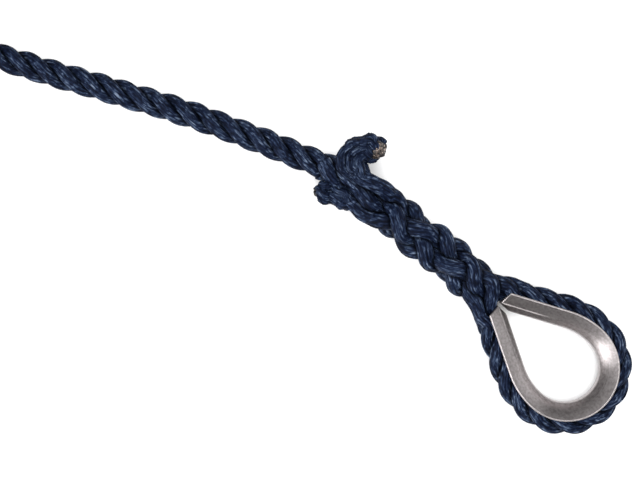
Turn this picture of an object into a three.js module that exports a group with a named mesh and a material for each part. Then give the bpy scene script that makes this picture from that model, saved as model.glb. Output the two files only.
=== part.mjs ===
// Thimble eye: the end of a three-strand laid rope, spliced round a stainless steel thimble,
// with the rest of the rope wound beside it.
//
// Millimetres, +Z up. The origin is the middle of the thimble's bearing face, inside the eye at
// its crown. +X runs from the crown along the eye to the splice, and the object lies flat.
//
// The rope's three strands are each one piece: down through the splice as part of the standing
// rope, round the thimble, and back into the splice, tucked over one and under one against the
// lay, to a short sealed tail.

import * as THREE from 'three';

// ---- Driving dimensions ----

const ROPE_RADIUS = 7;
const LAY_LENGTH = 37.5;
const STRAND_COUNT = 3;
const STRAND_RADIUS = 2.65;
const STRAND_FROM_AXIS = 3.75;
const GAP = 0.3;

const CROWN_RADIUS = 17.15;
const SHOULDER_RADIUS = 30;
const SHOULDER_ANGLE = THREE.MathUtils.degToRad(30);
const LEG_SLOPE = THREE.MathUtils.degToRad(27);
const TOE_RADIUS = 12;
const TOE_HALF_GAP = 1;
const THIMBLE_END = 63;
const THIMBLE_HALF_HEIGHT = 9.7;
const THIMBLE_STEPS = 61;
const STRIP_THICKNESS = 1.6;
const ROPE_SIDE_SLOPE = 0.6;

const ROPE_FROM_BEARING = 9.6;
const FLOOR = -THIMBLE_HALF_HEIGHT;

const STANDING_PITCH = 48;
const TUCKED_PITCH = 97;
const OPENED_PITCH = 120;
const SPLICE_MIDDLE = 6.15;
const SPLICE_SWAY = 2.9;
const SPLICE_START = 60;
const MERGE_START = 5.8;
const MERGE_LENGTH = 13.5;
const STRAIGHTENING = 6;
const LAST_TUCK = 80;
const LAST_TUCK_TOP = 77.5;
const OPENED_END = 104;
const SPLICE_LENGTH = 112;
const STANDING_ANGLE = THREE.MathUtils.degToRad(51);
const TUCKED_ANGLE = THREE.MathUtils.degToRad(23);
const STRAND_STEP = 1.6;
const STRAND_SPACING = 3.2;
const OWN_NEIGHBOURS = 12;
const SETTLE_ROUNDS = 250;
const SETTLED_GAP = 0.65;
const PUSH_SHARED = 0.15;
const SEAL_RADIUS = 3.2;

const COIL_CENTRE = new THREE.Vector3(438, 49, FLOOR);
const COIL_INNER_TURN = 63;
const COIL_OUTER_TURN = 77;
const COIL_END_TURN = 70;
const END_START = THREE.MathUtils.degToRad(-30);
const END_FINISH = THREE.MathUtils.degToRad(-89);
const END_RISE = 12.1;
const END_STEP = 1.5;
const WHIPPING_LENGTH = 18;
const SEAL_LENGTH = 2.5;

// ---- Materials ----

const navyRope = new THREE.MeshStandardMaterial({ color: 0x1f3150, roughness: 0.85, metalness: 0 });
const stainless = new THREE.MeshStandardMaterial({ color: 0xb9b4ae, roughness: 0.35, metalness: 1 });
const meltedEnd = new THREE.MeshStandardMaterial({ color: 0x4a372e, roughness: 0.6, metalness: 0 });
const whippingTwine = new THREE.MeshStandardMaterial({ color: 0xd8d2c4, roughness: 0.8, metalness: 0 });

const group = new THREE.Group();

function add(name, geometry, material) {
  const mesh = new THREE.Mesh(geometry, material);
  mesh.name = name;
  group.add(mesh);
  return mesh;
}

const smooth = (t) => THREE.MathUtils.smoothstep(t, 0, 1);

function circle(radius, sides) {
  const points = [];
  for (let k = 0; k < sides; k++) {
    const angle = (2 * Math.PI * k) / sides;
    points.push(new THREE.Vector2(radius * Math.cos(angle), radius * Math.sin(angle)));
  }
  return new THREE.Shape(points);
}

// A tube of a plain section along a smooth curve through the given points.
function tube(points, radius, sides, step) {
  const curve = new THREE.CatmullRomCurve3(points);
  curve.arcLengthDivisions = points.length * 12;
  const steps = Math.max(2, Math.round(curve.getLength() / step));
  return new THREE.ExtrudeGeometry(circle(radius, sides), { steps, extrudePath: curve });
}

// ---- The teardrop outline of the eye ----

const shoulderTurn = Math.PI / 2 - LEG_SLOPE;
const crownTurn = shoulderTurn + SHOULDER_ANGLE;
const shoulderX = CROWN_RADIUS - (SHOULDER_RADIUS - CROWN_RADIUS) * Math.cos(crownTurn);
const shoulderY = (SHOULDER_RADIUS - CROWN_RADIUS) * Math.sin(crownTurn);
// The straight legs would meet at tipX; the toes' curves are centred on (toeX, +-toeY).
const tipX = shoulderX + (SHOULDER_RADIUS - shoulderY * Math.cos(LEG_SLOPE)) / Math.sin(LEG_SLOPE);
const toeX = tipX - TOE_HALF_GAP / Math.tan(LEG_SLOPE) + TOE_RADIUS * Math.tan(LEG_SLOPE / 2);
const toeY = TOE_HALF_GAP + TOE_RADIUS;

// The bearing line seen from above, moved outwards by offset: up the -Y leg, round the crown
// and back down the +Y leg. With toes, both legs turn parallel at the end, as the thimble's do.
function eyeOutline(offset, toes) {
  const toeRadius = TOE_RADIUS - (toes ? offset : 0);
  const legX = toeX - toeRadius * Math.sin(LEG_SLOPE) + (toes ? 0 : offset * Math.sin(LEG_SLOPE));
  const legY = toeY - toeRadius * Math.cos(LEG_SLOPE) + (toes ? 0 : offset * Math.cos(LEG_SLOPE));
  const shoulder = SHOULDER_RADIUS + offset;
  const path = new THREE.Path();
  if (toes) {
    path.moveTo(THIMBLE_END, -TOE_HALF_GAP - offset);
    path.lineTo(toeX, -TOE_HALF_GAP - offset);
    path.absarc(toeX, -toeY, toeRadius, Math.PI / 2, Math.PI / 2 + LEG_SLOPE, false);
  } else {
    path.moveTo(legX, -legY);
  }
  path.lineTo(
    shoulderX + shoulder * Math.cos(shoulderTurn),
    shoulderY - shoulder * Math.sin(shoulderTurn),
  );
  path.absarc(shoulderX, shoulderY, shoulder, -shoulderTurn, -crownTurn, true);
  path.absarc(CROWN_RADIUS, 0, CROWN_RADIUS + offset, -crownTurn, crownTurn, true);
  path.absarc(shoulderX, -shoulderY, shoulder, crownTurn, shoulderTurn, true);
  if (toes) {
    path.absarc(toeX, toeY, toeRadius, -Math.PI / 2 - LEG_SLOPE, -Math.PI / 2, false);
    path.lineTo(THIMBLE_END, TOE_HALF_GAP + offset);
  } else {
    path.lineTo(legX, legY);
  }
  return path;
}

class FlatCurve extends THREE.Curve {
  constructor(path) {
    super();
    this.path = path;
    this.arcLengthDivisions = 1200;
  }

  getPoint(t) {
    const p = this.path.getPoint(t);
    return new THREE.Vector3(p.x, p.y, 0);
  }
}

// ---- Thimble ----

// One bent strip: a trough that the rope lies in, with a crease each side where its base meets
// the flared flange. Coordinates are height and distance outwards from the bearing line.
function thimbleSection() {
  const eyeSide = [
    [1.8, 0],
    [3.9, 0.9],
    [5.9, 3.2],
    [THIMBLE_HALF_HEIGHT, 7.6],
  ];
  const ropeSide = [
    [THIMBLE_HALF_HEIGHT, 9.5],
    [4.8, 4.3],
    [3.1, 2.3],
    [1.4, STRIP_THICKNESS],
  ];
  const half = [...eyeSide, ...ropeSide];
  const otherHalf = half.map(([height, out]) => [-height, out]).reverse();
  return new THREE.Shape([...half, ...otherHalf].map(([x, y]) => new THREE.Vector2(x, y)));
}

// The toes' bottoms turn parallel, pressed flat against each other, but their flanges run on
// straight to the ends.
function straightenFlanges(strip) {
  const toeStart = toeX - TOE_RADIUS * Math.sin(LEG_SLOPE);
  const points = strip.getAttribute('position');
  for (let n = 0; n < points.count; n++) {
    const y = points.getY(n);
    const past = Math.max(0, points.getX(n) - toeX);
    const back = Math.max(0, toeX - points.getX(n));
    const fromCentre = toeY - Math.abs(y);
    const turned = Math.atan2(back, fromCentre);
    if (turned > LEG_SLOPE) {
      continue;
    }
    const out = TOE_RADIUS - Math.hypot(back, fromCentre);
    const along = toeX - TOE_RADIUS * Math.sin(turned) + past;
    const share = (along - toeStart) / (THIMBLE_END - toeStart);
    const x = THREE.MathUtils.lerp(toeStart + out * Math.sin(LEG_SLOPE), THIMBLE_END, share);
    const straight = (tipX - x) * Math.tan(LEG_SLOPE) + out / Math.cos(LEG_SLOPE);
    const onRopeSide = out > ROPE_SIDE_SLOPE * Math.abs(points.getZ(n));
    const flat = TOE_HALF_GAP + (onRopeSide ? STRIP_THICKNESS : 0);
    points.setXY(n, x, Math.sign(y) * Math.max(straight, flat));
  }
  strip.computeVertexNormals();
  return strip;
}

function thimble() {
  const extrudePath = new FlatCurve(eyeOutline(0, true));
  const section = thimbleSection();
  return straightenFlanges(new THREE.ExtrudeGeometry(section, { steps: THIMBLE_STEPS, extrudePath }));
}

// The facet in the middle of the crown is a chord, so its face lies a little inside the arc.
function bearingFaceDepth() {
  const halfStep = eyeOutline(0, true).getLength() / THIMBLE_STEPS / 2;
  return CROWN_RADIUS * (1 - Math.cos(halfStep / CROWN_RADIUS));
}

// ---- Strands ----

// The axis of the splice, from between the thimble's toes to where it is plain rope again.
const spliceAxis = new THREE.CatmullRomCurve3([
  new THREE.Vector3(SPLICE_START, -0.6, 0),
  new THREE.Vector3(80, 0, 0.8),
  new THREE.Vector3(100, 1.6, 1.8),
  new THREE.Vector3(120, 3.5, 2.2),
  new THREE.Vector3(140, 5.7, 2.4),
  new THREE.Vector3(158, 7.9, 2.6),
  new THREE.Vector3(174, 10.9, 2.2),
  new THREE.Vector3(190, 17.2, 0.4),
]);

const splicePerLength = 1 / spliceAxis.getLength();
const standingTurn = (2 * Math.PI) / STANDING_PITCH;
const tuckedTurn = (2 * Math.PI) / TUCKED_PITCH;
const openedTurn = (2 * Math.PI) / OPENED_PITCH;
const ropeTurn = (2 * Math.PI) / LAY_LENGTH;
const up = new THREE.Vector3(0, 0, 1);

// A point beside a line, at an angle turned from its sideways direction towards +Z.
function beside(centre, direction, radius, angle) {
  const sideways = new THREE.Vector3().crossVectors(up, direction).normalize();
  const above = new THREE.Vector3().crossVectors(direction, sideways).normalize();
  return centre
    .clone()
    .addScaledVector(sideways, radius * Math.cos(angle))
    .addScaledVector(above, radius * Math.sin(angle));
}

// The centre of one leg's rope after it leaves the thimble's flank, side being -1 or 1.
const eyeLine = new FlatCurve(eyeOutline(ROPE_FROM_BEARING, false));
const eyeLength = eyeLine.getLength();

function legCentre(side, distance) {
  const end = eyeLine.getPoint(side < 0 ? 0 : 1);
  const run = Math.min(distance, STRAIGHTENING);
  const inward = Math.tan(LEG_SLOPE) * (run - (run * run) / (2 * STRAIGHTENING));
  return new THREE.Vector3(end.x + distance, end.y - side * inward, 0);
}

// Past the last tuck the standing strands lie opened out, before they close to plain lay.
function standingAngle(distance) {
  const opened = Math.max(0, distance - LAST_TUCK);
  const closed = Math.max(0, distance - OPENED_END);
  const turned = standingTurn * Math.min(0, distance - LAST_TUCK);
  return STANDING_ANGLE + turned + openedTurn * (opened - closed) + ropeTurn * closed;
}

const tuckedAngle = (distance) => TUCKED_ANGLE - tuckedTurn * (distance - LAST_TUCK);

// Where strand k lies in the splice. Standing strands turn with the lay and tucked strands
// against it, and their distances from the axis sway in opposition, so they pass over and under.
function splicePoint(k, tucked, distance) {
  const t = THREE.MathUtils.clamp(distance * splicePerLength, 0, 1);
  const angle = tucked ? tuckedAngle(distance) : standingAngle(distance);
  const turned = angle + (2 * Math.PI * k) / STRAND_COUNT;
  const crossings = (STRAND_COUNT / 2) * (standingTurn + tuckedTurn);
  const sway = SPLICE_SWAY * Math.cos(crossings * (distance - LAST_TUCK_TOP));
  const woven = SPLICE_MIDDLE + (tucked ? sway : -sway);
  const plain = smooth((distance - LAST_TUCK) / (OPENED_END - LAST_TUCK));
  const radius = tucked ? woven : THREE.MathUtils.lerp(woven, STRAND_FROM_AXIS, plain);
  const braided = beside(spliceAxis.getPointAt(t), spliceAxis.getTangentAt(t), radius, turned);
  const merged = smooth((distance - MERGE_START) / MERGE_LENGTH);
  if (merged >= 1) {
    return braided;
  }
  const along = new THREE.Vector3(1, 0, 0);
  const leg = beside(legCentre(tucked ? 1 : -1, distance), along, STRAND_FROM_AXIS, turned);
  return leg.lerp(braided, merged);
}

// The strands' angles at the two ends of the eye are set by the splice, so the lay in the eye
// is the whole number of thirds of a turn nearest to the rope's own.
const angleIn = Math.PI - standingAngle(0);
const angleOut = tuckedAngle(0);
const third = (2 * Math.PI) / STRAND_COUNT;
const eyeThirds = Math.round((eyeLength * ropeTurn - (angleOut - angleIn)) / third);
const eyeTwist = angleOut - angleIn + eyeThirds * third;

function eyePoint(k, share) {
  const angle = angleIn - third * k + eyeTwist * share;
  return beside(eyeLine.getPoint(share), eyeLine.getTangent(share), STRAND_FROM_AXIS, angle);
}

// Each strand comes out of the eye beside one of the tucked places: this is which.
function tuckedPlace(k) {
  return (((eyeThirds - k) % STRAND_COUNT) + STRAND_COUNT) % STRAND_COUNT;
}

// The tails, from where each strand leaves its last tuck to its sealed end: one out to the side,
// one over the top and curled back, one flat under the rope.
const TAILS = [
  [
    [144, 13.8, 5],
    [149, 13.4, 3.6],
    [154, 13.8, 2.8],
    [159.2, 15.6, 2.2],
    [163.8, 18.8, 1.4],
    [167.4, 22.6, 0.7],
  ],
  [
    [144.5, -0.8, 9.6],
    [150, 0.6, 11.6],
    [155.2, 2, 12.7],
    [160.8, 1.8, 13.3],
    [165.2, -0.8, 13.6],
    [167, -5, 13.2],
    [165.4, -9.4, 12.6],
    [161.4, -12, 12.5],
    [158.4, -13.2, 14.4],
  ],
  [
    [145, 4.4, -7],
    [151, 3.6, -7],
    [157, 2.4, -6.9],
    [162.5, 1, -6.6],
    [167, -0.6, -6.3],
  ],
];

function strandLine(k) {
  const line = [];
  for (let s = SPLICE_LENGTH; s > 0; s -= STRAND_STEP) {
    line.push(splicePoint(k, false, s));
  }
  const eyeSteps = Math.round(eyeLength / STRAND_STEP);
  for (let n = 0; n < eyeSteps; n++) {
    line.push(eyePoint(k, n / eyeSteps));
  }
  const place = tuckedPlace(k);
  for (let s = 0; s < LAST_TUCK; s += STRAND_STEP) {
    line.push(splicePoint(place, true, s));
  }
  return [...line, ...TAILS[place].map((p) => new THREE.Vector3(...p))];
}

// Eases the strands apart until no two lie closer than they can, and none sinks into the
// floor. Each point's push is shared with its neighbours along the strand, so it stays smooth.
function settle(lines) {
  const apart = 2 * STRAND_RADIUS + SETTLED_GAP;
  const points = lines.flatMap((line, strand) =>
    line.map((at, index) => ({ at, start: at.clone(), strand, index, last: line.length - 1 })),
  );
  const push = new THREE.Vector3();
  for (let round = 0; round < SETTLE_ROUNDS; round++) {
    for (let i = 0; i < points.length; i++) {
      for (let j = i + 1; j < points.length; j++) {
        const [a, b] = [points[i], points[j]];
        if (a.strand === b.strand && b.index - a.index < OWN_NEIGHBOURS) {
          continue;
        }
        const distance = push.subVectors(b.at, a.at).length();
        if (distance < apart) {
          push.multiplyScalar((apart - distance) / (2 * distance));
          a.at.sub(push);
          b.at.add(push);
        }
      }
    }
    const moved = points.map(({ at, start }) => at.clone().sub(start));
    points.forEach((point, i) => {
      const held = point.start.x < THIMBLE_END || point.index % point.last === 0;
      const shared = held ? new THREE.Vector3() : moved[i - 1].clone().add(moved[i + 1]).divideScalar(2);
      const share = held ? 1 : PUSH_SHARED;
      point.at.copy(point.start).add(moved[i].lerp(shared, share));
      point.at.z = Math.max(point.at.z, FLOOR + STRAND_RADIUS);
    });
  }
  return lines;
}

// The melted end of a tail: a blunt button a little wider than its strand.
function tailSeal(line) {
  const [before, end] = line.slice(-2);
  const direction = end.clone().sub(before).normalize();
  const button = new THREE.CylinderGeometry(SEAL_RADIUS - 0.4, SEAL_RADIUS, SEAL_LENGTH, 12, 1);
  const middle = end.clone().addScaledVector(direction, GAP + SEAL_LENGTH / 2);
  const turn = new THREE.Quaternion().setFromUnitVectors(new THREE.Vector3(0, 1, 0), direction);
  return { button, middle, turn };
}

// ---- The free rope ----

// The free rope's centre line from the splice to the coil.
const LEAD = [
  [174, 11, 2.2],
  [181, 13.8, 1.2],
  [188, 16.5, -0.3],
  [195.5, 19.5, -1.6],
  [203, 22.5, -2.4],
  [215, 27.6, -2.7],
  [230, 34.1, -2.7],
  [244.5, 40.8, -2.7],
  [258.5, 47.8, -2.7],
  [272.5, 55.1, -2.7],
  [286.5, 62.3, -2.7],
  [300, 69.5, -2.7],
  [314, 76.6, -2.7],
  [327, 83.1, -2.7],
  [342, 90.6, -2.7],
  [352, 95.5, -2.7],
  [362, 100.2, -2.7],
];

const lead = LEAD.map((p) => new THREE.Vector3(...p));

// The outline of two layers of two turns, with the dip between the upper two that the rope's
// end lies in, as distances from the coil's axis and heights.
function coilOutline() {
  const [inner, outer, r] = [COIL_INNER_TURN, COIL_OUTER_TURN, ROPE_RADIUS];
  const rounded = r * (1 - Math.SQRT1_2);
  const upper = 3 * r;
  const dip = upper + r * Math.sqrt(0.4);
  const half = [
    [inner - r, r],
    [inner - r, upper],
    [inner - r + rounded, upper + r - rounded],
    [inner, upper + r],
    [inner + r - rounded, upper + r - rounded],
  ];
  const otherHalf = half.map(([x, y]) => [inner + outer - x, y]).reverse();
  const base = [
    [outer + r - rounded, rounded],
    [outer, 0],
    [inner, 0],
    [inner - r + rounded, rounded],
  ];
  const outline = [...half, [(inner + outer) / 2, dip], ...otherHalf, ...base, half[0]];
  return outline.map(([x, y]) => new THREE.Vector2(x, y)).reverse();
}

// The rope's last stretch lies in the dip on top of the coil.
function endLine(from, to) {
  const points = [];
  const height = 3 * ROPE_RADIUS + END_RISE + GAP;
  const steps = Math.ceil(((from - to) * COIL_END_TURN) / END_STEP);
  for (let n = 0; n <= steps; n++) {
    const angle = THREE.MathUtils.lerp(from, to, n / steps);
    const out = new THREE.Vector3(Math.cos(angle), Math.sin(angle), 0);
    points.push(COIL_CENTRE.clone().addScaledVector(out, COIL_END_TURN).addScaledVector(up, height));
  }
  return points;
}

// ---- Assembly ----

add('thimble', thimble(), stainless);

const strandLines = settle([0, 1, 2].map(strandLine));
strandLines.forEach((line, k) => {
  add(`strand_${k + 1}`, tube(line, STRAND_RADIUS, 8, STRAND_SPACING), navyRope);
  const { button, middle, turn } = tailSeal(line);
  const seal = add(`tail_seal_${k + 1}`, button, meltedEnd);
  seal.position.copy(middle);
  seal.quaternion.copy(turn);
});

add('rope_lead', tube(lead, ROPE_RADIUS, 10, 2 * ROPE_RADIUS), navyRope);

const coil = add('rope_coil', new THREE.LatheGeometry(coilOutline(), 36), navyRope);
coil.rotation.x = Math.PI / 2;
coil.position.copy(COIL_CENTRE);

const whippingSweep = WHIPPING_LENGTH / COIL_END_TURN;
const sealSweep = SEAL_LENGTH / COIL_END_TURN;
const gapSweep = GAP / COIL_END_TURN;
const whippingStart = END_FINISH + whippingSweep;
const sealStart = END_FINISH - gapSweep;
add('rope_end', tube(endLine(END_START, whippingStart + gapSweep), ROPE_RADIUS, 10, 10), navyRope);
add('end_whipping', tube(endLine(whippingStart, END_FINISH), ROPE_RADIUS, 12, 4), whippingTwine);
add('end_seal', tube(endLine(sealStart, sealStart - sealSweep), ROPE_RADIUS - 0.4, 12, 2), meltedEnd);

group.position.x = -bearingFaceDepth();

export default group;
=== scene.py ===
import math

import bpy
import numpy as np
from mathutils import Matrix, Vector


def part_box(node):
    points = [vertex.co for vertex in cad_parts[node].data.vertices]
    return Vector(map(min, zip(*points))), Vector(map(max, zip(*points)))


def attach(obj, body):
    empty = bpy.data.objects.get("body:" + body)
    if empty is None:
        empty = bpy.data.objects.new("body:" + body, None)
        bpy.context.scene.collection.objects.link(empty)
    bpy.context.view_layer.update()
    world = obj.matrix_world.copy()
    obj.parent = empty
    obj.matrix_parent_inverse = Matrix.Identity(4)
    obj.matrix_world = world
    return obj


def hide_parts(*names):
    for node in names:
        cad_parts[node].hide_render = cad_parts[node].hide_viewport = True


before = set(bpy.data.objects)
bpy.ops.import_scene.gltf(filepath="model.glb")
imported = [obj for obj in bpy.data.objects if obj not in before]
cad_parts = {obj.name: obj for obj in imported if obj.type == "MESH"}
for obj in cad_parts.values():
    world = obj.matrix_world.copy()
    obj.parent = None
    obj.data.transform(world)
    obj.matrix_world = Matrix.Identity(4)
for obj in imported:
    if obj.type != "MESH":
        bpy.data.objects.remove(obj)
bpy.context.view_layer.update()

# Lengths are in millimetres until a mesh is made, in the CAD frame: origin at the thimble's
# bearing face, +X along the eye towards the splice, +Z up.
MM = 0.001
BODY = "root"
scene = bpy.context.scene

# ---- Camera: straight down, with the eye at the lower right and the rope off to the left ----

PICTURE_CENTRE = (149.3, 38.8)
PICTURE_WIDTH = 320.0
EYE_AXIS_TILT = math.radians(43.9)
LENS = 85.0
SENSOR = 36.0


def make_camera():
    data = bpy.data.cameras.new("camera")
    data.lens = LENS
    data.sensor_width = SENSOR
    camera = bpy.data.objects.new("camera", data)
    scene.collection.objects.link(camera)
    height = LENS / SENSOR * PICTURE_WIDTH
    camera.location = (PICTURE_CENTRE[0] * MM, PICTURE_CENTRE[1] * MM, height * MM)
    camera.rotation_euler = (0.0, 0.0, math.pi + EYE_AXIS_TILT)
    scene.camera = camera


make_camera()

# ---- Sizes ----

ROPE_RADIUS = 7.0
LAY_LENGTH = 37.5
STRANDS = 3
STRAND_RADIUS = 3.35
LOOSE_RADIUS = 4.2
STRAND_FROM_AXIS = 3.7
YARNS = 12
YARN_RIDGE = 0.42
YARN_TURN = -0.03

CROWN_RADIUS = 17.15
SHOULDER_RADIUS = 30.0
SHOULDER_ANGLE = math.radians(30)
LEG_SLOPE = math.radians(27)
TOE_RADIUS = 12.0
TOE_HALF_GAP = 1.0
THIMBLE_END = 63.0
ROPE_FROM_BEARING = 9.6
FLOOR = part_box("thimble")[0].z / MM

SHOULDER_TURN = math.pi / 2 - LEG_SLOPE
CROWN_TURN = SHOULDER_TURN + SHOULDER_ANGLE
SHOULDER_X = CROWN_RADIUS - (SHOULDER_RADIUS - CROWN_RADIUS) * math.cos(CROWN_TURN)
SHOULDER_Y = (SHOULDER_RADIUS - CROWN_RADIUS) * math.sin(CROWN_TURN)
# The straight legs would meet at TIP_X; the toes' curves are centred on (TOE_X, +-TOE_Y).
TIP_X = SHOULDER_X + (SHOULDER_RADIUS - SHOULDER_Y * math.cos(LEG_SLOPE)) / math.sin(LEG_SLOPE)
TOE_X = TIP_X - TOE_HALF_GAP / math.tan(LEG_SLOPE) + TOE_RADIUS * math.tan(LEG_SLOPE / 2)
TOE_Y = TOE_HALF_GAP + TOE_RADIUS
TOE_START = TOE_X - TOE_RADIUS * math.sin(LEG_SLOPE)

STANDING_PITCH = 48.0
TUCKED_PITCH = 97.0
OPENED_PITCH = 120.0
SPLICE_MIDDLE = 5.1
SPLICE_SWAY = 1.7
MERGE_START = 4.5
MERGE_LENGTH = 11.5
STRAIGHTENING = 6.0
LAST_TUCK = 80.0
LAST_TUCK_TOP = 77.5
OPENED_END = 104.0
STANDING_ANGLE = math.radians(51)
TUCKED_ANGLE = math.radians(23)
STRAND_STEP = 1.0
SETTLED_APART = 5.2
SETTLE_ROUNDS = 120
SETTLE_SHARE = 0.12
SETTLE_KEPT = 0.7
SETTLED_ABOVE_FLOOR = 2.6
HELD_POINTS = 12
OWN_POINTS = 18
SETTLED_FROM = THIMBLE_END - 12.0

EXIT = (174.0, 11.0, 2.2)
SPLICE_ROUTE = [
    (60, -0.6, 0),
    (80, 0, 0.8),
    (100, 1.6, 1.8),
    (120, 3.5, 2.2),
    (140, 5.7, 2.4),
    (158, 7.9, 2.6),
]
LEAD_ROUTE = [
    EXIT,
    (181, 13.8, 1.2),
    (188, 16.5, -0.3),
    (195.5, 19.5, -1.6),
    (203, 22.5, -2.4),
    (215, 27.6, -2.7),
    (230, 34.1, -2.7),
    (244.5, 40.8, -2.7),
    (258.5, 47.8, -2.7),
    (272.5, 55.1, -2.7),
    (286.5, 62.3, -2.7),
    (300, 69.5, -2.7),
    (314, 76.6, -2.7),
    (327, 83.1, -2.7),
    (342, 90.6, -2.7),
    (352, 95.5, -2.7),
    (362, 100.2, -2.7),
    (375, 106.2, -2.7),
    (387, 111.5, -2.7),
    (398, 116.1, -2.7),
]

COIL_CENTRE = (438.0, 49.0)
COIL_JOIN_ANGLE = 112.0
COIL_OUTER_TURN = 77.0
COIL_INNER_TURN = 63.0
COIL_END_TURN = 70.0
COIL_SWEEP = 1281.0
COIL_POINT_EVERY = 15.0
# Where along the sweep the rope moves in, up and out, and where its end rises into the dip.
MOVES_IN = (310, 358)
MOVES_UP = (622, 668)
MOVES_OUT = (955, 1000)
END_MOVES_IN = (1177, 1222)
END_RISES = (1160, 1204)
END_RISE = 26.4
WHIPPING_SWEEP = math.degrees(18.0 / COIL_END_TURN)
SEAL_SWEEP = math.degrees(2.5 / COIL_END_TURN)

# ---- Lines ----


def smooth(low, high, x):
    t = np.clip((np.asarray(x, float) - low) / (high - low), 0, 1)
    return t * t * (3 - 2 * t)


def unit(v):
    return v / np.maximum(np.linalg.norm(v, axis=-1, keepdims=True), 1e-9)


def arc_lengths(line):
    return np.concatenate([[0], np.cumsum(np.linalg.norm(np.diff(line, axis=0), axis=1))])


def at_runs(line, run, at):
    return np.stack([np.interp(at, run, line[:, k]) for k in range(line.shape[1])], -1)


def spaced(line, step):
    """The line again, with its points a steady step apart."""
    run = arc_lengths(line)
    return at_runs(line, run, np.linspace(0, run[-1], max(2, round(run[-1] / step) + 1)))


def curve_through(points, step):
    """A smooth curve through the points, sampled at a steady step."""
    p = np.asarray(points, float)
    p = np.vstack([2 * p[0] - p[1], p, 2 * p[-1] - p[-2]])
    knots = np.cumsum(np.concatenate([[0], np.linalg.norm(np.diff(p, axis=0), axis=1) ** 0.5]))
    pieces = []
    for i in range(1, len(p) - 2):
        k0, k1, k2, k3 = knots[i - 1 : i + 3]
        t = np.linspace(k1, k2, 24, endpoint=False)[:, None]
        a = (k1 - t) / (k1 - k0) * p[i - 1] + (t - k0) / (k1 - k0) * p[i]
        b = (k2 - t) / (k2 - k1) * p[i] + (t - k1) / (k2 - k1) * p[i + 1]
        c = (k3 - t) / (k3 - k2) * p[i + 1] + (t - k2) / (k3 - k2) * p[i + 2]
        d = (k2 - t) / (k2 - k0) * a + (t - k0) / (k2 - k0) * b
        e = (k3 - t) / (k3 - k1) * b + (t - k1) / (k3 - k1) * c
        pieces.append((k2 - t) / (k2 - k1) * d + (t - k1) / (k2 - k1) * e)
    return spaced(np.vstack([*pieces, p[-2:-1]]), step)


def tangents(line):
    return unit(np.gradient(line, axis=0))


def frames_along(line):
    """Two sideways directions that follow the line without turning about it."""
    along = tangents(line)
    side = np.zeros_like(line)
    side[0] = unit(np.cross([0, 0, 1], along[0]))
    for i in range(1, len(line)):
        v = side[i - 1] - along[i] * (side[i - 1] @ along[i])
        side[i] = v / np.linalg.norm(v)
    return side, np.cross(along, side)


def beside(centre, along, radius, angle):
    """Points beside a line, at an angle turned from its level sideways direction upwards."""
    sideways = unit(np.cross([0, 0, 1], along))
    above = np.cross(along, sideways)
    radius, angle = np.broadcast_arrays(np.asarray(radius, float), np.asarray(angle, float))
    out = np.cos(angle)[..., None] * sideways + np.sin(angle)[..., None] * above
    return centre + radius[..., None] * out


def coil_points(sweep):
    """The coil: outer and inner turns on the floor, inner and outer on top, the end between."""
    gap = COIL_OUTER_TURN - COIL_INNER_TURN
    radius = (
        COIL_OUTER_TURN
        - gap * smooth(*MOVES_IN, sweep)
        + gap * smooth(*MOVES_OUT, sweep)
        - (COIL_OUTER_TURN - COIL_END_TURN) * smooth(*END_MOVES_IN, sweep)
    )
    rise = 2 * ROPE_RADIUS * smooth(*MOVES_UP, sweep)
    rise += (END_RISE - 2 * ROPE_RADIUS) * smooth(*END_RISES, sweep)
    angle = np.radians(COIL_JOIN_ANGLE - sweep)
    x = COIL_CENTRE[0] + radius * np.cos(angle)
    y = COIL_CENTRE[1] + radius * np.sin(angle)
    return np.stack([x, y, FLOOR + ROPE_RADIUS + rise], 1)


coil_sweeps = np.append(np.arange(0, COIL_SWEEP, COIL_POINT_EVERY), COIL_SWEEP)
# One axis runs through the splice and on along the whole free rope.
rope_axis = curve_through([*SPLICE_ROUTE, *LEAD_ROUTE, *coil_points(coil_sweeps)], 1.0)
rope_run = arc_lengths(rope_axis)
exit_run = rope_run[np.linalg.norm(rope_axis - EXIT, axis=1).argmin()]

# ---- The three strands' lines ----

STANDING_TURN = 2 * math.pi / STANDING_PITCH
TUCKED_TURN = 2 * math.pi / TUCKED_PITCH
OPENED_TURN = 2 * math.pi / OPENED_PITCH
ROPE_TURN = 2 * math.pi / LAY_LENGTH
THIRD = 2 * math.pi / STRANDS
rope_along = tangents(rope_axis)


def on_axis(distance):
    return at_runs(rope_axis, rope_run, distance), unit(at_runs(rope_along, rope_run, distance))


def standing_angle(distance):
    """Past the last tuck the standing strands lie opened out, before they close to plain lay."""
    opened = np.maximum(0, distance - LAST_TUCK)
    closed = np.maximum(0, distance - OPENED_END)
    turned = STANDING_TURN * np.minimum(0, distance - LAST_TUCK)
    return STANDING_ANGLE + turned + OPENED_TURN * (opened - closed) + ROPE_TURN * closed


def tucked_angle(distance):
    return TUCKED_ANGLE - TUCKED_TURN * (distance - LAST_TUCK)


def arc(centre, radius, start, end):
    a = np.linspace(start, end, 2 + int(abs(end - start) * radius / 0.4))
    return np.stack([centre[0] + radius * np.cos(a), centre[1] + radius * np.sin(a)], 1)


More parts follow.
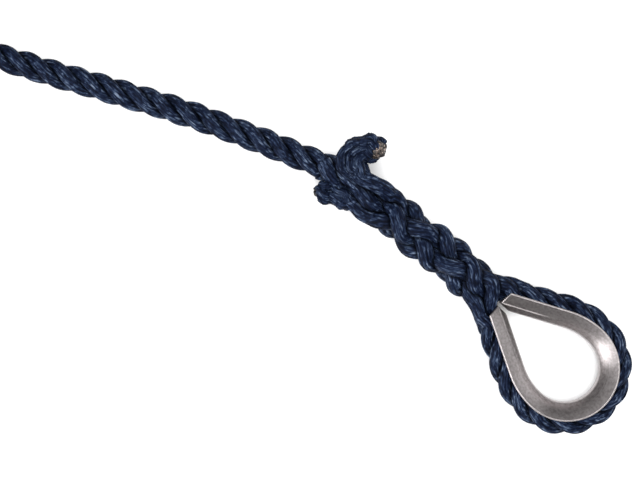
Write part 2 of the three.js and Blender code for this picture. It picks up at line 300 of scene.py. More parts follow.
def eye_outline(offset, toes):
    """The bearing line, moved outwards: up the -Y leg, round the crown and down the +Y leg."""
    if toes:
        start = [[THIMBLE_END, TOE_HALF_GAP + offset]]
        bend = arc((TOE_X, TOE_Y), TOE_RADIUS - offset, -math.pi / 2, -math.pi / 2 - LEG_SLOPE)
        leg = np.vstack([start, bend])
    else:
        back = TOE_RADIUS - offset
        leg = np.array([[TOE_X - back * math.sin(LEG_SLOPE), TOE_Y - back * math.cos(LEG_SLOPE)]])
    shoulder_centre = (SHOULDER_X, -SHOULDER_Y)
    shoulder = arc(shoulder_centre, SHOULDER_RADIUS + offset, SHOULDER_TURN, CROWN_TURN)
    crown = arc((CROWN_RADIUS, 0), CROWN_RADIUS + offset, CROWN_TURN, math.pi)
    plus = np.vstack([leg, shoulder, crown[1:]])
    line = np.vstack([plus * [1, -1], plus[::-1][1:]])
    return np.column_stack([line, np.zeros(len(line))])


eye_line = spaced(eye_outline(ROPE_FROM_BEARING, False), STRAND_STEP)
eye_length = arc_lengths(eye_line)[-1]


def leg_centre(side, distance):
    end = eye_line[0] if side < 0 else eye_line[-1]
    run = np.minimum(distance, STRAIGHTENING)
    inward = math.tan(LEG_SLOPE) * (run - run * run / (2 * STRAIGHTENING))
    return np.stack([end[0] + distance, end[1] - side * inward, 0 * distance], 1)


def splice_line(k, tucked, distance):
    """Where strand k lies in the splice: over one and under one, by swaying in and out."""
    angle = (tucked_angle(distance) if tucked else standing_angle(distance)) + k * THIRD
    crossings = STRANDS / 2 * (STANDING_TURN + TUCKED_TURN)
    sway = SPLICE_SWAY * np.cos(crossings * (distance - LAST_TUCK_TOP))
    woven = SPLICE_MIDDLE + (sway if tucked else -sway)
    plain = smooth(LAST_TUCK, OPENED_END, distance) * (not tucked)
    centre, along = on_axis(distance)
    braided = beside(centre, along, woven + (STRAND_FROM_AXIS - woven) * plain, angle)
    leg_middle = leg_centre(1 if tucked else -1, distance)
    leg = beside(leg_middle, np.tile([1.0, 0, 0], (len(distance), 1)), STRAND_FROM_AXIS, angle)
    merged = smooth(MERGE_START, MERGE_START + MERGE_LENGTH, distance)[:, None]
    return leg + (braided - leg) * merged


angle_in = math.pi - float(standing_angle(0.0))
angle_out = float(tucked_angle(0.0))
eye_thirds = round((eye_length * ROPE_TURN - (angle_out - angle_in)) / THIRD)
eye_twist = angle_out - angle_in + eye_thirds * THIRD

TAILS = [
    [(144, 13.8, 5), (149, 13.4, 3.6), (154, 13.8, 2.8), (159.2, 15.6, 2.2), (163.8, 18.8, 1.4),
     (167.4, 22.6, 0.7)],
    [(144.5, -0.8, 9.4), (150, 0.6, 11.4), (155.2, 2, 12.5), (160.8, 1.8, 13.1), (165, -0.8, 13.4),
     (166.6, -5, 12.8), (165, -9.2, 12), (161.4, -12, 12.4), (158.4, -13.2, 14.4)],
    [(145, 4.4, -6.8), (151, 3.6, -6.7), (157, 2.4, -6.6), (162.5, 1, -6.4), (167, -0.6, -6.2)],
]


def strand_line(k):
    """Strand k from the end of the splice, down it, round the thimble and back to its tail."""
    share = np.linspace(0, 1, len(eye_line))[:-1]
    turn = angle_in - k * THIRD + eye_twist * share
    eye = beside(eye_line[:-1], tangents(eye_line)[:-1], STRAND_FROM_AXIS, turn)
    place = (eye_thirds - k) % STRANDS
    down = splice_line(k, False, np.arange(exit_run, 0, -STRAND_STEP))
    back = splice_line(place, True, np.arange(0, LAST_TUCK, STRAND_STEP))
    return np.vstack([down, eye, back, curve_through([back[-1], *TAILS[place]], STRAND_STEP)[1:]])


def settle(lines):
    """Eases the lines apart until none lie closer than they can, and none is in the floor."""
    start = np.vstack(lines)
    at = start.copy()
    strand = np.repeat(np.arange(len(lines)), [len(line) for line in lines])
    index = np.concatenate([np.arange(len(line)) for line in lines])
    last = np.concatenate([np.full(len(line), len(line) - 1) for line in lines])
    held = (start[:, 0] < THIMBLE_END) | (index < HELD_POINTS) | (index == last)
    live = np.flatnonzero(start[:, 0] > SETTLED_FROM)
    own = (strand[live, None] == strand[live]) & (abs(index[live, None] - index[live]) < OWN_POINTS)
    for _ in range(SETTLE_ROUNDS):
        apart = at[live, None] - at[None, live]
        distance = np.linalg.norm(apart, axis=2) + 1e-9
        short = np.where(own | (distance > SETTLED_APART), 0, SETTLED_APART - distance)
        at[live] += SETTLE_SHARE * (apart * (short / distance)[..., None]).sum(1)
        moved = at - start
        beside_it = (moved[:-2] + moved[2:]) / 2
        moved[1:-1] = SETTLE_KEPT * moved[1:-1] + (1 - SETTLE_KEPT) * beside_it
        moved[held] = 0
        at = start + moved
        at[:, 2] = np.maximum(at[:, 2], FLOOR + SETTLED_ABOVE_FLOOR)
    return np.split(at, np.cumsum([len(line) for line in lines])[:-1])


def whole_strands():
    """Each strand from the rope's far end to its tail, and how far along it leaves the rope."""
    free = np.arange(rope_run[-1], exit_run, -STRAND_STEP)
    centre, along = on_axis(free)
    lines, leaves = [], []
    for k, spliced in enumerate(settle([strand_line(k) for k in range(STRANDS)])):
        turn = standing_angle(exit_run) + ROPE_TURN * (free - exit_run) + k * THIRD
        rope = beside(centre, along, STRAND_FROM_AXIS, turn)
        lines.append(np.vstack([rope, spliced]))
        leaves.append(arc_lengths(lines[-1])[len(rope)])
    return lines, leaves


strand_lines, strand_leaves = whole_strands()

# ---- Strand surfaces ----


def smallest(a, b, blend):
    """The smaller of two values, with the corner between them rounded."""
    h = np.clip(0.5 + 0.5 * (b - a) / blend, 0, 1)
    return b * (1 - h) + a * h - blend * h * (1 - h)


def wander(rng, count, length, every, size):
    """Slow random changes along a length, a column for each of count yarns, a row per mm."""
    knots = rng.normal(0, size, (max(4, int(length / every) + 3), count))
    x = np.linspace(0, len(knots) - 1.001, max(2, int(length) + 2))
    low = x.astype(int)
    t = smooth(0, 1, x - low)[:, None]
    return knots[low] * (1 - t) + knots[low + 1] * t


all_points = np.vstack(strand_lines)
all_strand = np.repeat(np.arange(STRANDS), [len(line) for line in strand_lines])
all_run = np.concatenate([arc_lengths(line) for line in strand_lines])
OPEN_DEPTH = 2.2
OPEN_START = 0.3
OWN_REACH = 16.0
NEIGHBOUR_REACH = 9.0
NO_NEIGHBOUR = 99.0
CONTACT_GAP = 0.04
CONTACT_ROUNDING = 0.5
ABOVE_FLOOR = 0.03
SWELL_EVERY = 9.0
SWELL_SIZE = 0.12


def cell_edge(k, run, point, directions):
    """How far strand k can swell each way before it meets the strands pressed against it."""
    close = np.abs(all_points - point).max(1) < NEIGHBOUR_REACH
    away = all_points[close] - point
    own = (all_strand[close] == k) & (abs(all_run[close] - run) < OWN_REACH)
    square = (away * away).sum(1)
    other = ~own & (square < NEIGHBOUR_REACH**2)
    if not other.any():
        return np.full(len(directions), NO_NEIGHBOUR)
    facing = directions @ away[other].T
    return (square[other] / (2 * np.maximum(facing, 1e-6))).min(1)


def strand_rows(k, at, per_yarn, radius, seed):
    """Rings of points round strand k, and how open each point is.

    The yarns are rounded, and pressed flat where strands touch.
    """
    line = strand_lines[k]
    run = arc_lengths(line)
    side, above = frames_along(line)
    centre = at_runs(line, run, at)
    side = unit(at_runs(side, run, at))
    above = unit(at_runs(above, run, at))
    count = YARNS * per_yarn
    around = 2 * np.pi * np.arange(count) / count
    angle = around[None] + YARN_TURN * at[:, None]
    out = np.cos(angle)[..., None] * side[:, None] + np.sin(angle)[..., None] * above[:, None]
    crown = np.abs(np.sin(YARNS * around / 2))
    uneven = wander(np.random.default_rng(seed), YARNS, run[-1], SWELL_EVERY, SWELL_SIZE)
    swell = uneven[at.astype(int)][:, np.arange(count) // per_yarn]
    free = radius + YARN_RIDGE * (crown - 1) + swell * crown
    edge = np.stack([cell_edge(k, s, p, d) for s, p, d in zip(at, centre, out, strict=True)])
    points = centre[:, None] + out * smallest(free, edge - CONTACT_GAP, CONTACT_ROUNDING)[..., None]
    points[..., 2] = np.maximum(points[..., 2], FLOOR + ABOVE_FLOOR)
    return points, np.clip((edge - radius + OPEN_START) / OPEN_DEPTH, 0, 1)


def tube_mesh(name, grids, runs, opens=None):
    """One mesh of closed tubes from grids of rings, with UVs: round a tube, and along it.

    The attribute "open" is 0 where a strand is hidden against its neighbours and 1 in the clear.
    """
    verts, faces, uvs, base = [], [], [], 0
    for number, (grid, run) in enumerate(zip(grids, runs, strict=True)):
        rows, count = grid.shape[:2]
        verts.append(np.vstack([grid.reshape(-1, 3), grid[0].mean(0), grid[-1].mean(0)]))
        i, j = (a.ravel() for a in np.meshgrid(np.arange(rows - 1), np.arange(count), indexing="ij"))
        a, b = i * count + j, i * count + (j + 1) % count
        faces += (np.stack([a, b, b + count, a + count], 1) + base).tolist()
        u0, u1, v = j / count, (j + 1) / count, run * MM + number * 7
        uvs.append(np.stack([u0, v[i], u1, v[i], u1, v[i + 1], u0, v[i + 1]], 1).reshape(-1, 2))
        ring = np.arange(count)
        after = (ring + 1) % count
        last = (rows - 1) * count
        low = np.stack([np.full(count, rows * count), after, ring], 1)
        high = np.stack([np.full(count, rows * count + 1), last + ring, last + after], 1)
        faces += (np.vstack([low, high]) + base).tolist()
        spread = np.stack([(ring + 0.5) / count, ring / count, after / count], 1)
        for v_end in (v[0], v[-1]):
            uvs.append(np.stack([spread.ravel(), np.full(3 * count, v_end)], 1))
        base += rows * count + 2
    mesh = bpy.data.meshes.new(name)
    mesh.from_pydata((np.vstack(verts) * MM).tolist(), [], faces)
    layer = mesh.uv_layers.new(name="strand")
    layer.data.foreach_set("uv", np.vstack(uvs).astype(np.float32).ravel())
    if opens is not None:
        ends = [np.concatenate([o.ravel(), [1, 1]]) for o in opens]
        shown = mesh.attributes.new("open", "FLOAT", "POINT")
        shown.data.foreach_set("value", np.concatenate(ends).astype(np.float32))
    mesh.shade_smooth()
    piece = bpy.data.objects.new(name, mesh)
    scene.collection.objects.link(piece)
    return piece


def finish_piece(piece, slot, *nodes):
    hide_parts(*nodes)
    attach(piece, BODY)
    return piece


# ---- The free rope: the cord ----

CLOSE_RUN = 230.0
CLOSE_STEP = 1.2
FAR_STEP = 3.0


def make_rope():
    grids, runs, opens = [], [], []
    for k in range(STRANDS):
        leaves = strand_leaves[k]
        far = np.linspace(0, leaves - CLOSE_RUN, round((leaves - CLOSE_RUN) / FAR_STEP))
        close = np.linspace(leaves - CLOSE_RUN, leaves, round(CLOSE_RUN / CLOSE_STEP))
        at = np.concatenate([far, close[1:]])
        grid, shown = strand_rows(k, at, 3, STRAND_RADIUS, 40 + k)
        grids.append(grid)
        runs.append(at)
        opens.append(shown)
    return tube_mesh("free_rope", grids, runs, opens)


free_rope = finish_piece(make_rope(), "rope", "rope_lead", "rope_coil", "rope_end")

# ---- The spliced strands ----

TAIL_YARNS = 7
TAIL_LENGTHS = (22.0, 35.0, 12.0)
TAIL_SPREADS = (4.0, 4.1, 1.5)
TAIL_YARN_RADII = (2.55, 2.6, 1.35)
TAIL_BEADS = (1.0, 1.5, 0.9)
TAIL_BEAD_COUNTS = (9, 40, 9)
TAIL_SEAL_WIDTHS = (1.6, 3.7, 1.4)
HIDDEN_IN_TAIL = 0.45
LOOSENS = (62, 74)
TIGHTENS = (150, 166)


def make_spliced(k):
    total = arc_lengths(strand_lines[k])[-1] - TAIL_LENGTHS[(eye_thirds - k) % STRANDS] * HIDDEN_IN_TAIL
    at = np.linspace(strand_leaves[k], total, round(total - strand_leaves[k]))
    x = at_runs(strand_lines[k], arc_lengths(strand_lines[k]), at)[:, 0]
    loose = smooth(*LOOSENS, x) * (1 - smooth(*TIGHTENS, x) * (at < total / 2))
    radius = STRAND_RADIUS + (LOOSE_RADIUS - STRAND_RADIUS) * loose
    grid, shown = strand_rows(k, at, 5, radius[:, None], 40 + k)
    piece = tube_mesh(f"spliced_strand_{k + 1}", [grid], [at], [shown])
    return finish_piece(piece, "rope", f"strand_{k + 1}")


spliced = [make_spliced(k) for k in range(STRANDS)]

# ---- The tails: each strand's end, opened into fat, loose yarns with melted tips ----

TAIL_YARN_TURN = 0.085
TAIL_YARN_SIDES = 20
TAIL_YARN_LUMPS = 0.42
TAIL_SWAY_EVERY = 4.0
TAIL_SWAY = 0.85
TAIL_ABOVE_FLOOR = 0.05
TAIL_RING_STEP = 0.5
TAIL_YARN_STEP = 0.45
TAIL_OPENS_OVER = 0.4
TAIL_UNOPENED = 0.2
TAIL_UNEVEN_TURN = 0.2
TAIL_UNEVEN_LENGTH = 4
TAIL_UNEVEN_YARNS = (0.88, 1.08)
LUMP_EVERY = 2.6


def yarn_rings(line, radius, sides, rng, lumps):
    """Rings round a loose yarn, lumpy, and rounded off at both ends."""
    side, above = frames_along(line)
    run = arc_lengths(line)
    angle = 2 * np.pi * np.arange(sides) / sides
    out = np.cos(angle)[:, None] * side[:, None] + np.sin(angle)[:, None] * above[:, None]
    bumps = wander(rng, sides // 2, run[-1] + 4, LUMP_EVERY, lumps)
    swell = np.repeat(bumps[run.astype(int)], 2, 1)
    swell = (swell + np.roll(swell, 1, 1)) / 2
    radius = np.broadcast_to(radius, run.shape)
    blunt = np.sqrt(np.clip(np.minimum(run, run[-1] - run) / (1.1 * radius), 0.02, 1))
    return line[:, None] + out * ((radius[:, None] + swell) * blunt[:, None])[..., None], run


def make_tail(k):
    """The loose yarns of strand k's tail, and where each ends."""
    place = (eye_thirds - k) % STRANDS
    rng = np.random.default_rng(70 + place)
    line = strand_lines[k]
    run = arc_lengths(line)
    length, spread = TAIL_LENGTHS[place], TAIL_SPREADS[place]
    at = np.linspace(run[-1] - length, run[-1], round(length / TAIL_RING_STEP))
    centre = at_runs(line, run, at)
    side, above = frames_along(centre)
    grids, runs, tips = [], [], []
    for n in range(TAIL_YARNS):
        middle = n == 0
        opened = smooth(0, TAIL_OPENS_OVER, (at - at[0]) / length)
        far = (0.0 if middle else spread) * (TAIL_UNOPENED + (1 - TAIL_UNOPENED) * opened)
        turn = n * 2 * math.pi / (TAIL_YARNS - 1) + TAIL_YARN_TURN * (at - at[0])
        turn += rng.normal(0, TAIL_UNEVEN_TURN)
        sway = wander(rng, 2, length + 4, TAIL_SWAY_EVERY, TAIL_SWAY)
        sway = sway[(at - at[0]).astype(int)] * opened[:, None]
        x, y = far * np.cos(turn) + sway[:, 0], far * np.sin(turn) + sway[:, 1]
        yarn = centre + side * x[:, None] + above * y[:, None]
        keep = len(at) - int(rng.uniform(0, TAIL_UNEVEN_LENGTH))
        radius = TAIL_YARN_RADII[place] * rng.uniform(*TAIL_UNEVEN_YARNS)
        yarn_line = spaced(yarn[:keep], TAIL_YARN_STEP)
        swelling = radius * (0.5 + 0.5 * smooth(0, length / 3, arc_lengths(yarn_line)))
        grid, yarn_run = yarn_rings(yarn_line, swelling, TAIL_YARN_SIDES, rng, TAIL_YARN_LUMPS)
        grid[..., 2] = np.maximum(grid[..., 2], FLOOR + TAIL_ABOVE_FLOOR)
        grids.append(grid)
        runs.append(yarn_run)
        tips.append((yarn[keep - 1], unit(yarn[keep - 1] - yarn[keep - 4]), radius))
    return grids, runs, tips


GOLDEN_TURN = math.pi * (3 - math.sqrt(5))
BEAD_ROWS = 12
BEAD_SIDES = 16
BEAD_POLE = 0.12
BEAD_WAVES = 2.6
BEAD_LUMPS = 0.06
BEAD_STRETCH = (0.8, 1.2)
BEAD_SIZES = (0.7, 1.15)
BEAD_SCATTER = 0.25
FACE_FORWARD = 0.5
FACE_DOME = 0.9
FACE_FALL = 0.10


def nodule(centre, size, rng):
    """A small irregular bead of melted fibre."""
    v = np.linspace(BEAD_POLE, math.pi - BEAD_POLE, BEAD_ROWS)[:, None]
    u = 2 * np.pi * np.arange(BEAD_SIDES)[None] / BEAD_SIDES
    ball = np.stack([np.sin(v) * np.cos(u), np.sin(v) * np.sin(u), np.cos(v) + 0 * u], -1)
    waves = rng.normal(0, 1, (5, 3)) * BEAD_WAVES
    lumps = sum(np.sin(ball @ wave + rng.uniform(0, 6)) for wave in waves) * BEAD_LUMPS
    stretch = rng.uniform(*BEAD_STRETCH, 3)
    return centre + ball * (size * (1 + lumps))[..., None] * stretch


def make_seal(k, tips):
    """The melted end of strand k's tail: beads of fibre run together into one rough face."""
    place = (eye_thirds - k) % STRANDS
    rng = np.random.default_rng(90 + place)
    along = unit(sum(tip[1] for tip in tips))
    middle = sum(tip[0] for tip in tips) / len(tips) + along * FACE_FORWARD
    side = unit(np.cross([0.0, 0.0, 1.0], along))
    above = np.cross(along, side)
    grids = []
    for n in range(TAIL_BEAD_COUNTS[place]):
        far = TAIL_SEAL_WIDTHS[place] * math.sqrt((n + 0.5) / TAIL_BEAD_COUNTS[place])
        turn = n * GOLDEN_TURN + rng.normal(0, BEAD_SCATTER)
        offset = far * (math.cos(turn) * side + math.sin(turn) * above)
        rise = along * (FACE_DOME - FACE_FALL * far * far + rng.normal(0, BEAD_SCATTER))
        size = TAIL_BEADS[place] * rng.uniform(*BEAD_SIZES)
        bead = nodule(middle + offset + rise, size, rng)
        bead[..., 2] = np.maximum(bead[..., 2], FLOOR + TAIL_ABOVE_FLOOR)
        grids.append(bead)
    runs = [np.linspace(0, 4, len(grid)) for grid in grids]
    piece = tube_mesh(f"melted_tail_{k + 1}", grids, runs)
    return finish_piece(piece, "melted_end", f"tail_seal_{k + 1}")


tails = [make_tail(k) for k in range(STRANDS)]
tail_yarns = []
for k, (grids, runs, _) in enumerate(tails):
    piece = tube_mesh(f"tail_yarns_{k + 1}", grids, runs, [np.ones(g.shape[:2]) for g in grids])
    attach(piece, BODY)
    tail_yarns.append(piece)
seals = [make_seal(k, tails[k][2]) for k in range(STRANDS)]

# ---- The thimble ----

# Half of the strip's section as (height, distance out from the bearing line, corner radius),
# first on the eye's side, outwards from the middle, then back on the rope's side.
LEG_EYE_SIDE = [(3.1, 0.0, 1.2), (5.6, 2.5, 0.4), (5.78, 3.2, 0.5), (9.77, 8.4, 0.3)]
CROWN_EYE_SIDE = [(2.6, 0.0, 2.2), (4.9, 2.1, 3.0), (6.2, 3.5, 2.5), (9.77, 8.4, 0.3)]
ROPE_SIDE = [(9.0, 9.1, 0.4), (4.8, 4.3, 1.0), (3.1, 2.3, 1.0), (1.4, 1.6, 0.8)]
EYE_SIDE_POINTS = len(LEG_EYE_SIDE)
STRIP_THICKNESS = 1.6
CREASE_STARTS = 26.0
CREASE_FULL = 44.0
CORNER_STEPS = 5
THIMBLE_STEP = 0.8


def rounded_section(corners):
    """The closed section with its corners rounded, always with the same number of points."""
    half = list(corners)
    loop = half + [(-h, out, r) for h, out, r in reversed(half)]
    points = np.array([(h, out) for h, out, _ in loop])
    result = []
    for n, (_, _, radius) in enumerate(loop):
        here, before, after = points[n], points[n - 1], points[(n + 1) % len(loop)]
        reach = min(radius, *(0.45 * np.linalg.norm(p - here) for p in (before, after)))
        a = here + unit(before - here) * reach
        b = here + unit(after - here) * reach
        for t in np.linspace(0, 1, CORNER_STEPS):
            result.append((1 - t) ** 2 * a + 2 * t * (1 - t) * here + t * t * b)
    return np.array(result)


def make_thimble():
    line = spaced(eye_outline(0.0, True), THIMBLE_STEP)
    along = tangents(line)
    outward = np.stack([along[:, 1], -along[:, 0], 0 * along[:, 0]], 1)
    if (outward[len(line) // 2] @ [1, 0, 0]) > 0:
        outward = -outward
    leg = rounded_section(LEG_EYE_SIDE + ROPE_SIDE)
    crown = rounded_section(CROWN_EYE_SIDE + ROPE_SIDE)
    crease = smooth(CREASE_STARTS, CREASE_FULL, line[:, 0])[:, None, None]
    section = crown + (leg - crown) * crease
    grid = line[:, None] + outward[:, None] * section[..., 1:2]
    # At the toes the trough's bottom turns parallel, but the flanges run on straight.
    corner = np.arange(section.shape[1]) // CORNER_STEPS
    on_rope_side = np.minimum(corner, corner[-1] - corner) >= EYE_SIDE_POINTS
    out = section[..., 1]
    share = np.clip((line[:, :1] - TOE_START) / (THIMBLE_END - TOE_START), 0, 1)
    x = TOE_START + out * math.sin(LEG_SLOPE)
    x += (THIMBLE_END - x) * share
    straight = (TIP_X - x) * math.tan(LEG_SLOPE) + out / math.cos(LEG_SLOPE)
    flat = TOE_HALF_GAP + np.where(on_rope_side, STRIP_THICKNESS, 0.0)
    pressed = flat + 0.5 * (straight - flat + np.hypot(straight - flat, 0.5 * share))
    at_toe = share > 0
    grid[..., 0] = np.where(at_toe, x, grid[..., 0])
    grid[..., 1] = np.where(at_toe, np.sign(line[:, 1:2]) * pressed, grid[..., 1])
    grid[..., 2] = section[..., 0]
    piece = tube_mesh("steel_thimble", [grid], [arc_lengths(line)])
    return finish_piece(piece, "thimble_steel", "thimble")


thimble = make_thimble()

# ---- The far end of the rope: twine whipping and a melted tip ----

TWINE_RADIUS = 0.55
TWINE_SUNK = 0.35
SEAL_INSET = 0.9
SEAL_SIDES = 60


def end_axis(start, finish, step):
    return spaced(coil_points(np.arange(start, finish + 0.01, 0.25)), step)


def make_whipping():
    """Twine wound tightly round the rope's end."""
    axis = end_axis(COIL_SWEEP - WHIPPING_SWEEP, COIL_SWEEP, 0.05)
    side, above = frames_along(axis)
    turn = 2 * np.pi * arc_lengths(axis) / (2.02 * TWINE_RADIUS)
    out = np.cos(turn)[:, None] * side + np.sin(turn)[:, None] * above
    line = axis + (ROPE_RADIUS - TWINE_SUNK) * out
    line = spaced(line, 1.3)
    grid, run = yarn_rings(line, TWINE_RADIUS, 8, np.random.default_rng(5), 0.03)
    piece = tube_mesh("twine_whipping", [grid], [run])
    return finish_piece(piece, "twine", "end_whipping")


def make_end_seal():
    """The melted tip: a domed, pitted button with the three strands' outline still in it."""
    axis = end_axis(COIL_SWEEP, COIL_SWEEP + SEAL_SWEEP, 0.25)
    side, above = frames_along(axis)
    rng = np.random.default_rng(6)
    run = arc_lengths(axis)
    angle = 2 * np.pi * np.arange(SEAL_SIDES) / SEAL_SIDES
    lobes = 0.35 * np.cos(3 * angle + 0.6) + 0.12 * rng.normal(0, 1, SEAL_SIDES)
    dome = np.sqrt(np.clip(1 - (run / run[-1]) ** 3, 0.02, 1))[:, None]
    radius = (ROPE_RADIUS - SEAL_INSET + lobes[None]) * dome
    out = np.cos(angle)[:, None] * side[:, None] + np.sin(angle)[:, None] * above[:, None]
    piece = tube_mesh("melted_tip", [axis[:, None] + out * radius[..., None]], [run])
    return finish_piece(piece, "melted_end", "end_seal")


whipping = make_whipping()
end_seal = make_end_seal()

# ---- Materials ----


def new_material(name):
    material = bpy.data.materials.new(name)
    material.use_nodes = True
    tree = material.node_tree
    return material, tree, tree.nodes["Principled BSDF"]


def node(tree, kind, **values):
    made = tree.nodes.new(kind)
    for name, value in values.items():
        if name in made.inputs:
            made.inputs[name].default_value = value
        else:
            setattr(made, name, value)
    return made


def math_node(tree, operation, a, b=None):
    made = tree.nodes.new("ShaderNodeMath")
    made.operation = operation
    for socket, value in zip(made.inputs, (a, b), strict=False):
        if isinstance(value, bpy.types.NodeSocket):
            tree.links.new(value, socket)
        elif value is not None:
            socket.default_value = value
    return made.outputs[0]


def ramp(tree, factor, stops):
    made = tree.nodes.new("ShaderNodeValToRGB")
    made.color_ramp.elements.remove(made.color_ramp.elements[1])
    for n, (place, colour) in enumerate(stops):
        stop = made.color_ramp.elements[0] if n == 0 else made.color_ramp.elements.new(place)
        stop.position = place
        stop.color = (*colour, 1.0)
    tree.links.new(factor, made.inputs["Fac"])
    return made.outputs["Color"]


def rope_material():
    material, tree, shader = new_material("navy_rope")
    link = tree.links.new
    uv = tree.nodes.new("ShaderNodeUVMap")
    uv.uv_map = "strand"
    parts = tree.nodes.new("ShaderNodeSeparateXYZ")
    link(uv.outputs["UV"], parts.inputs[0])
    across = math_node(tree, "MULTIPLY", parts.outputs["X"], YARNS)
    yarn = math_node(tree, "FLOOR", across)

    def pattern(cycles_per_yarn, length_mm, depth, detail, distortion):
        place = tree.nodes.new("ShaderNodeCombineXYZ")
        link(math_node(tree, "MULTIPLY", across, cycles_per_yarn), place.inputs["X"])
        link(math_node(tree, "MULTIPLY", parts.outputs["Y"], 1000 / length_mm), place.inputs["Y"])
        link(math_node(tree, "MULTIPLY", yarn, depth), place.inputs["Z"])
        noise = node(tree, "ShaderNodeTexNoise", Scale=1.0, Detail=detail, Distortion=distortion)
        link(place.outputs[0], noise.inputs["Vector"])
        return noise.outputs["Fac"]

    streaks = pattern(2.6, 3.4, 0.0, 3.0, 1.1)
    patches = pattern(0.8, 4.2, 5.3, 2.0, 0.9)
    broad = pattern(0.25, 22.0, 1.7, 1.0, 0.0)
    mixed = math_node(tree, "ADD", math_node(tree, "MULTIPLY", streaks, 0.37),
                      math_node(tree, "MULTIPLY", patches, 0.50))
    mixed = math_node(tree, "ADD", mixed, math_node(tree, "MULTIPLY", broad, 0.13))
    # Painted shade in the grooves where one yarn meets the next.
    inside = math_node(tree, "ABSOLUTE", math_node(tree, "SUBTRACT",
                                                   math_node(tree, "FRACT", across), 0.5))
    groove_shade = math_node(tree, "POWER", math_node(tree, "MULTIPLY", inside, 2), 5)
    mixed = math_node(tree, "SUBTRACT", mixed, math_node(tree, "MULTIPLY", groove_shade, 0.10))
    # The ramp runs from dark navy to pale blue-grey. Its pale end is partly lighter, fluffed fibre and
    # partly painted glints off the shiny filaments.
    colour = ramp(tree, mixed, [
        (0.38, (0.0007, 0.0016, 0.0055)),
        (0.45, (0.0020, 0.0042, 0.0135)),
        (0.505, (0.0060, 0.0107, 0.0275)),
        (0.56, (0.0225, 0.0352, 0.0660)),
        (0.62, (0.0750, 0.1000, 0.1500)),
        (0.70, (0.1400, 0.1720, 0.2320)),
    ])
    # Painted shade: the colour is darkened where the strands press against each other, and lifted a
    # little where they are in the clear.
    shown = node(tree, "ShaderNodeAttribute", attribute_name="open")
    shade = ramp(tree, shown.outputs["Fac"], [
        (0.0, (0.16, 0.16, 0.16)),
        (0.35, (0.45, 0.45, 0.45)),
        (1.0, (1.15, 1.15, 1.15)),
    ])
    darkened = node(tree, "ShaderNodeMix", data_type="RGBA", blend_type="MULTIPLY")
    darkened.inputs["Factor"].default_value = 1.0
    link(colour, darkened.inputs[6])
    link(shade, darkened.inputs[7])
    link(darkened.outputs[2], shader.inputs["Base Color"])
    bump = node(tree, "ShaderNodeBump", Strength=0.9, Distance=0.0006)
    link(streaks, bump.inputs["Height"])
    link(bump.outputs["Normal"], shader.inputs["Normal"])
    shader.inputs["Roughness"].default_value = 0.62
    shader.inputs["Specular IOR Level"].default_value = 0.06
    return material


def object_noise(tree, scale, detail, stretch=(1, 1, 1), distortion=0.0):
    place = tree.nodes.new("ShaderNodeTexCoord")
    mapping = node(tree, "ShaderNodeMapping", Scale=stretch)
    noise = node(tree, "ShaderNodeTexNoise", Scale=scale, Detail=detail, Distortion=distortion)
    tree.links.new(place.outputs["Object"], mapping.inputs["Vector"])
    tree.links.new(mapping.outputs[0], noise.inputs["Vector"])
    return noise.outputs["Fac"]


def steel_material():
    material, tree, shader = new_material("satin_stainless")
    link = tree.links.new
    uv = tree.nodes.new("ShaderNodeUVMap")
    uv.uv_map = "strand"
    mapping = node(tree, "ShaderNodeMapping", Scale=(60.0, 45.0, 1.0))
    grain = node(tree, "ShaderNodeTexNoise", Scale=1.0, Detail=4.0)
    link(uv.outputs["UV"], mapping.inputs["Vector"])
    link(mapping.outputs[0], grain.inputs["Vector"])
    cloud = object_noise(tree, 800.0, 6.0)
    fine = object_noise(tree, 1500.0, 2.0)
    both = math_node(tree, "ADD", math_node(tree, "MULTIPLY", grain.outputs["Fac"], 0.4),
                     math_node(tree, "MULTIPLY", cloud, 0.6))
    link(ramp(tree, both, [(0.38, (0.232, 0.2125, 0.2125)), (0.62, (0.368, 0.342, 0.343))]),
         shader.inputs["Base Color"])
    rough = node(tree, "ShaderNodeMapRange")
    rough.inputs["To Min"].default_value = 0.30
    rough.inputs["To Max"].default_value = 0.46
    link(both, rough.inputs["Value"])
    link(rough.outputs[0], shader.inputs["Roughness"])
    height = math_node(tree, "ADD", math_node(tree, "MULTIPLY", fine, 0.3), grain.outputs["Fac"])
    bump = node(tree, "ShaderNodeBump", Strength=0.12, Distance=0.0002)
    link(height, bump.inputs["Height"])
    link(bump.outputs["Normal"], shader.inputs["Normal"])
    shader.inputs["Metallic"].default_value = 1.0
    return material


def melted_material(name, shade):
    material, tree, shader = new_material(name)
    link = tree.links.new
    spots = object_noise(tree, 900.0, 3.0, distortion=0.8)
    link(ramp(tree, spots, [
        (0.44, (0.007 * shade, 0.006 * shade, 0.007 * shade)),
        (0.53, (0.035 * shade, 0.024 * shade, 0.020 * shade)),
        (0.59, (0.170 * shade, 0.120 * shade, 0.098 * shade)),
        (0.66, (0.500 * shade, 0.400 * shade, 0.340 * shade)),
    ]), shader.inputs["Base Color"])
    bump = node(tree, "ShaderNodeBump", Strength=0.6, Distance=0.0004)
    link(spots, bump.inputs["Height"])
    link(bump.outputs["Normal"], shader.inputs["Normal"])
    shader.inputs["Roughness"].default_value = 0.5
    return material


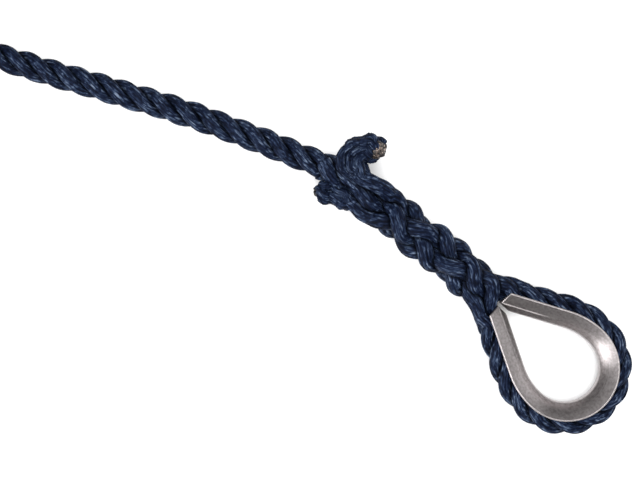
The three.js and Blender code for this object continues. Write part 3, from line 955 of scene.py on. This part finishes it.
def twine_material():
    material, tree, shader = new_material("waxed_twine")
    link = tree.links.new
    uv = tree.nodes.new("ShaderNodeUVMap")
    uv.uv_map = "strand"
    mapping = node(tree, "ShaderNodeMapping", Scale=(3.0, 900.0, 1.0), Rotation=(0, 0, 0.6))
    fibres = node(tree, "ShaderNodeTexNoise", Scale=1.0, Detail=3.0)
    link(uv.outputs["UV"], mapping.inputs["Vector"])
    link(mapping.outputs[0], fibres.inputs["Vector"])
    link(ramp(tree, fibres.outputs["Fac"], [(0.35, (0.24, 0.215, 0.17)), (0.65, (0.46, 0.43, 0.37))]),
         shader.inputs["Base Color"])
    bump = node(tree, "ShaderNodeBump", Strength=0.5, Distance=0.0002)
    link(fibres.outputs["Fac"], bump.inputs["Height"])
    link(bump.outputs["Normal"], shader.inputs["Normal"])
    shader.inputs["Roughness"].default_value = 0.7
    return material


UPPER_TAIL = 1
BROWN_SHADE = 0.6
DARK_SHADE = 0.12


def paint(material, *pieces):
    for piece in pieces:
        piece.data.materials.append(material)


paint(rope_material(), free_rope, *spliced, *tail_yarns)
paint(steel_material(), thimble)
for k, seal in enumerate(seals):
    on_upper_tail = (eye_thirds - k) % STRANDS == UPPER_TAIL
    shade = BROWN_SHADE if on_upper_tail else DARK_SHADE
    paint(melted_material(f"melted_fibre_{k + 1}", shade), seal)
paint(melted_material("melted_rope_end", BROWN_SHADE), end_seal)
paint(twine_material(), whipping)

# ---- Floor and lights ----


FLOOR_REACH = 3.0


def make_floor():
    mesh = bpy.data.meshes.new("floor")
    reach, z = FLOOR_REACH, FLOOR * MM
    corners = [(-reach, -reach, z), (reach, -reach, z), (reach, reach, z), (-reach, reach, z)]
    mesh.from_pydata(corners, [], [(0, 1, 2, 3)])
    floor = bpy.data.objects.new("floor", mesh)
    scene.collection.objects.link(floor)
    material, tree, shader = new_material("floor")
    shader.inputs["Base Color"].default_value = (0.95, 0.95, 0.95, 1)
    shader.inputs["Roughness"].default_value = 0.9
    mesh.materials.append(material)


def area_light(name, azimuth, elevation, distance, size, power):
    data = bpy.data.lights.new(name, "AREA")
    data.shape = "RECTANGLE"
    data.size, data.size_y = size
    data.energy = power
    light = bpy.data.objects.new(name, data)
    scene.collection.objects.link(light)
    a, e = math.radians(azimuth), math.radians(elevation)
    away = np.array([math.cos(e) * math.cos(a), math.cos(e) * math.sin(a), math.sin(e)])
    light.location = np.array([*PICTURE_CENTRE, 0]) * MM + away * distance
    light.rotation_euler = (math.pi / 2 - e, 0, a + math.pi / 2)


make_floor()
area_light("overhead", 0, 90, 1.7, (1.8, 1.8), 62)
area_light("key", 80, 20, 1.5, (0.7, 0.35), 15)
area_light("fill", -116, 10, 1.5, (1.2, 0.4), 3.2)

world = bpy.data.worlds.new("world")
world.use_nodes = True
world.node_tree.nodes["Background"].inputs["Color"].default_value = (1, 1, 1, 1)
world.node_tree.nodes["Background"].inputs["Strength"].default_value = 0.22
scene.world = world
scene.view_settings.view_transform = "Standard"
